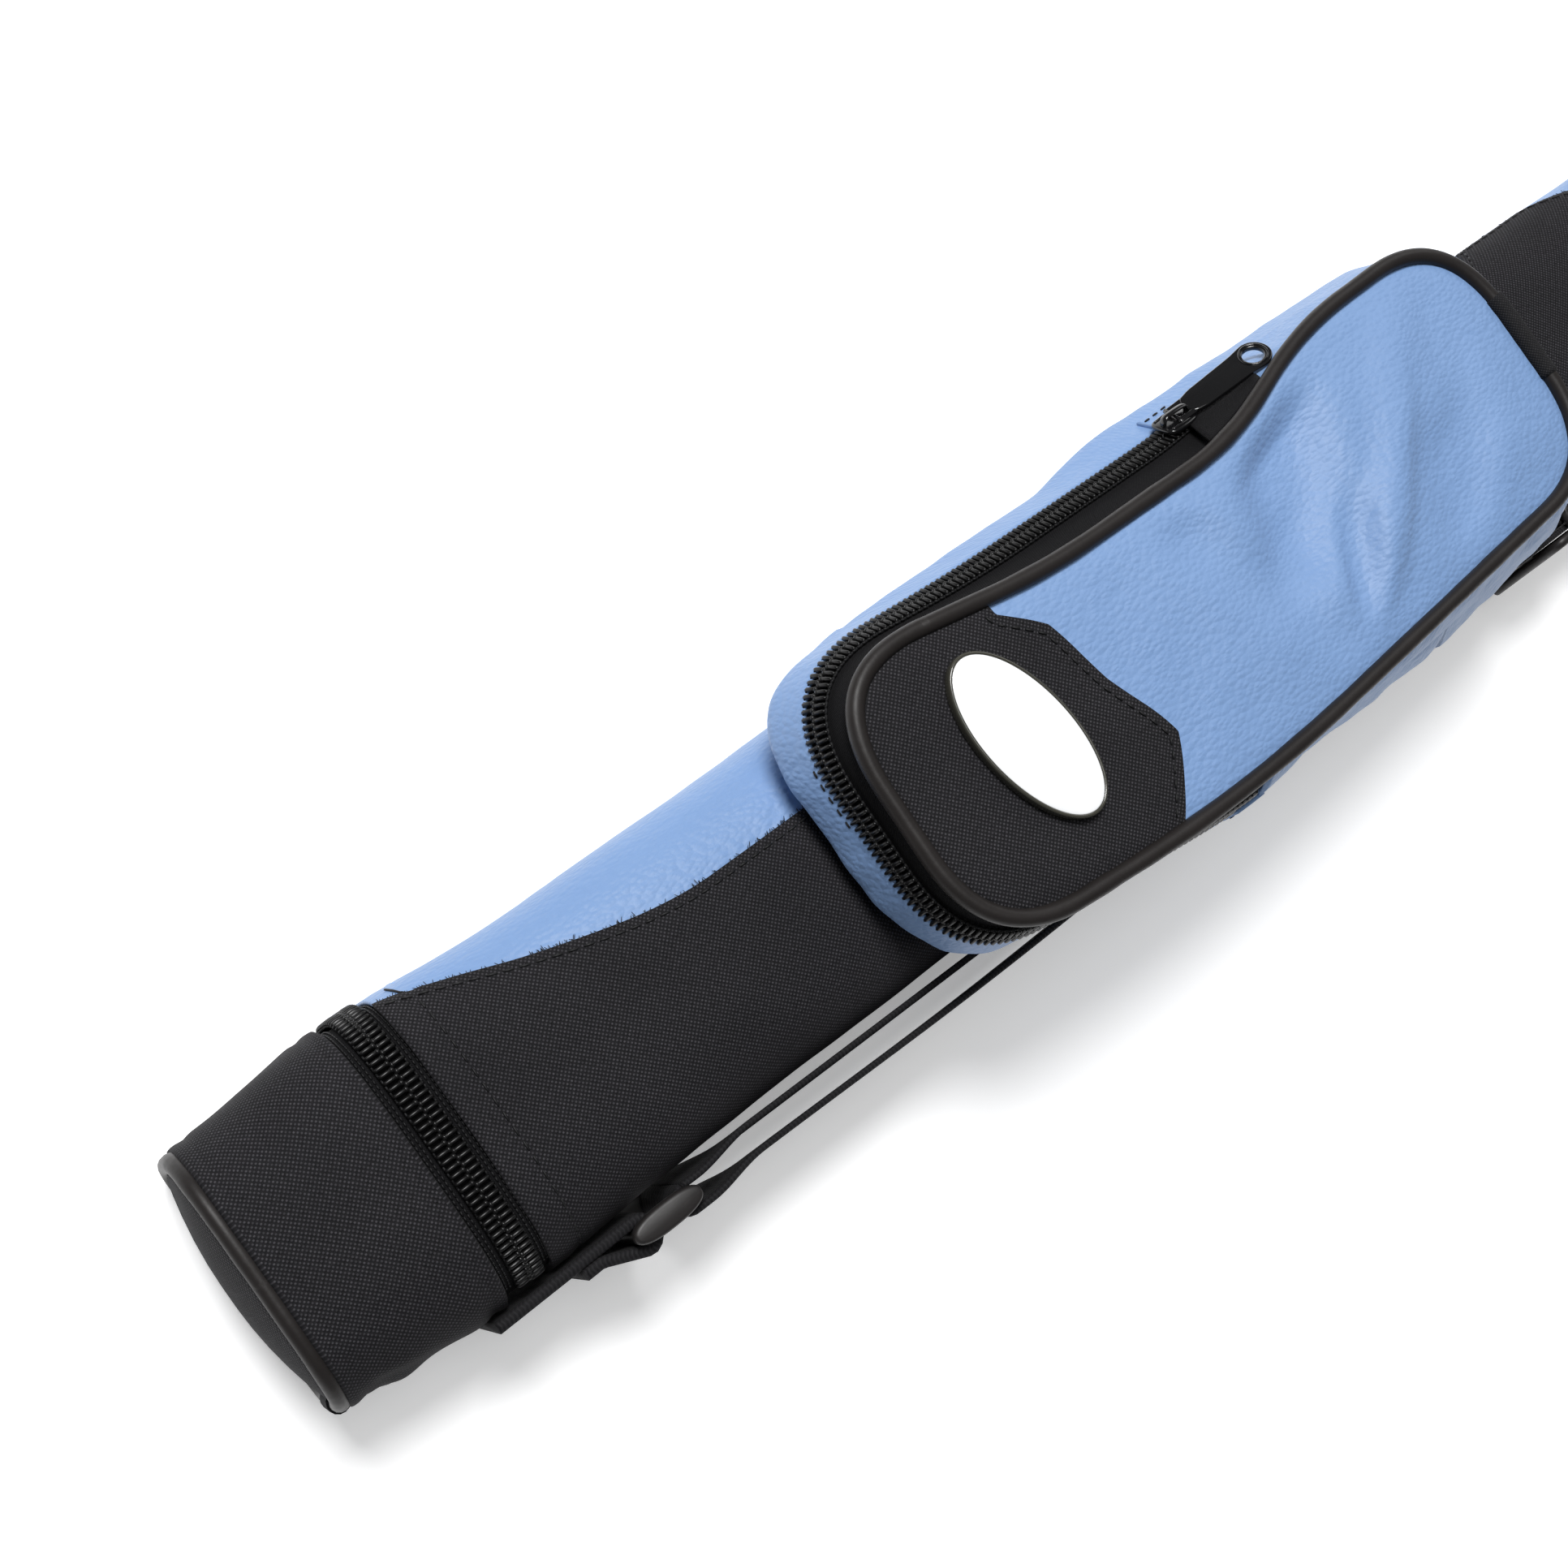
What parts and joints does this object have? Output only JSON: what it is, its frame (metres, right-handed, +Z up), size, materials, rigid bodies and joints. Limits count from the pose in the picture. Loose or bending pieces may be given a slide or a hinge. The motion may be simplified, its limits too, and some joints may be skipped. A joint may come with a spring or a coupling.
{
  "type": "soft tube carry case",
  "caption": "Slim padded tube case with a zip-open hinged end lid, lined inner channels, piped zip accessory pocket and adjustable webbing shoulder strap.",
  "frame": {"origin": "on the resting face under the tube's centreline, halfway along the case", "axes": "+X along the case from the lid's end to the bottom end, +Z up through the pocket, -Y towards the shoulder strap"},
  "size_m": [0.8045, 0.0885, 0.0745],
  "materials": {
    "blue_leatherette": "grained leatherette, soft sheen",
    "black_woven": "coarse woven polyester, matt",
    "zip_tape": "fine woven tape, matt",
    "zip_coil": "nylon coil, glossy",
    "piping": "covered piping cord, satin",
    "webbing": "ribbed webbing, matt",
    "strap_plastic": "moulded plastic, satin",
    "foam": "foam, matt",
    "liner_board": "stiff liner board, matt",
    "lining_cloth": "brushed lining, matt",
    "zip_metal": "black lacquer, glossy",
    "piping_sleeve": "shrunk sleeve, glossy",
    "badge_bezel": "dark plated rim, satin",
    "badge_face": "clear domed resin over white, glossy"
  },
  "bodies": {
    "case": {"outer_shell": "blue_leatherette", "side_panel": "black_woven", "end_boot": "black_woven", "foam_padding": "foam", "liner_tube": "liner_board", "lining": "lining_cloth", "channel_divider": "lining_cloth", "mouth_zip_tape": "zip_tape", "mouth_zip_coil": "zip_coil", "bottom_pad": "foam", "bottom_board": "liner_board", "bottom_panel": "black_woven", "bottom_piping": "piping", "pocket_back": "black_woven", "pocket_lower_gusset": "blue_leatherette", "pocket_lower_tape": "zip_tape", "pocket_lower_coil": "zip_coil", "pocket_rear_gusset": "blue_leatherette", "pocket_rear_panel": "blue_leatherette", "pocket_rear_piping": "piping", "pocket_piping_sleeve": "piping_sleeve", "strap_tab": "webbing", "strap_ring": "strap_plastic", "bottom_strap_tab": "webbing", "bottom_strap_ring": "strap_plastic", "strap_webbing": "webbing", "strap_return": "webbing"},
    "lid": {"lid_wall": "black_woven", "lid_foam": "foam", "lid_liner": "liner_board", "lid_lining": "lining_cloth", "lid_end_pad": "foam", "lid_end_board": "liner_board", "lid_end_panel": "black_woven", "lid_piping": "piping", "lid_piping_sleeve": "piping_sleeve", "lid_zip_tape": "zip_tape", "lid_zip_coil": "zip_coil", "lid_strap_tab": "webbing"},
    "lid_zip_slider": {"lid_zip_slider": "zip_metal"},
    "lid_zip_pull": {"lid_zip_pull": "zip_metal"},
    "pocket_flap": {"pocket_flap_panel": "blue_leatherette", "pocket_yoke": "black_woven", "pocket_flap_piping": "piping", "pocket_upper_tape": "zip_tape", "pocket_upper_coil": "zip_coil", "badge_base": "badge_bezel", "badge_dome": "badge_face"},
    "pocket_zip_slider": {"pocket_zip_slider": "zip_metal"},
    "pocket_zip_pull": {"pocket_zip_pull": "zip_metal"},
    "strap_adjuster": {"strap_adjuster": "strap_plastic", "strap_end_loop": "webbing"}
  },
  "joints": [
    {"name": "lid_hinge", "type": "hinge", "parent": "case", "child": "lid", "pos_m": [-0.361, -0.032, 0.022], "axis": [0, 0, 1], "range_deg": [0, 90]},
    {"name": "lid_zip_slide", "type": "slide", "parent": "case", "child": "lid_zip_slider", "axis": [0, 1, 0], "range_m": [0, 0.022]},
    {"name": "lid_pull_hinge", "type": "hinge", "parent": "lid_zip_slider", "child": "lid_zip_pull", "pos_m": [-0.361, -0.0128, 0.00205], "axis": [1, 0, 0], "range_deg": [-100, 0]},
    {"name": "pocket_fold", "type": "hinge", "parent": "case", "child": "pocket_flap", "pos_m": [-0.166, 0, 0.0736], "axis": [0.4817, 0.8763, 0], "range_deg": [0, 60]},
    {"name": "pocket_zip_slide", "type": "slide", "parent": "pocket_flap", "child": "pocket_zip_slider", "axis": [-1, 0, 0], "range_m": [0, 0.055]},
    {"name": "pocket_pull_hinge", "type": "hinge", "parent": "pocket_zip_slider", "child": "pocket_zip_pull", "pos_m": [-0.1528, 0.03566, 0.06372], "axis": [0, 0.6574, -0.7536], "range_deg": [-110, 0]},
    {"name": "adjuster_slide", "type": "slide", "parent": "case", "child": "strap_adjuster", "axis": [-0.9999, 0.0169, 0], "range_m": [0, 0.12], "deforming": ["strap_return"]}
  ]
}
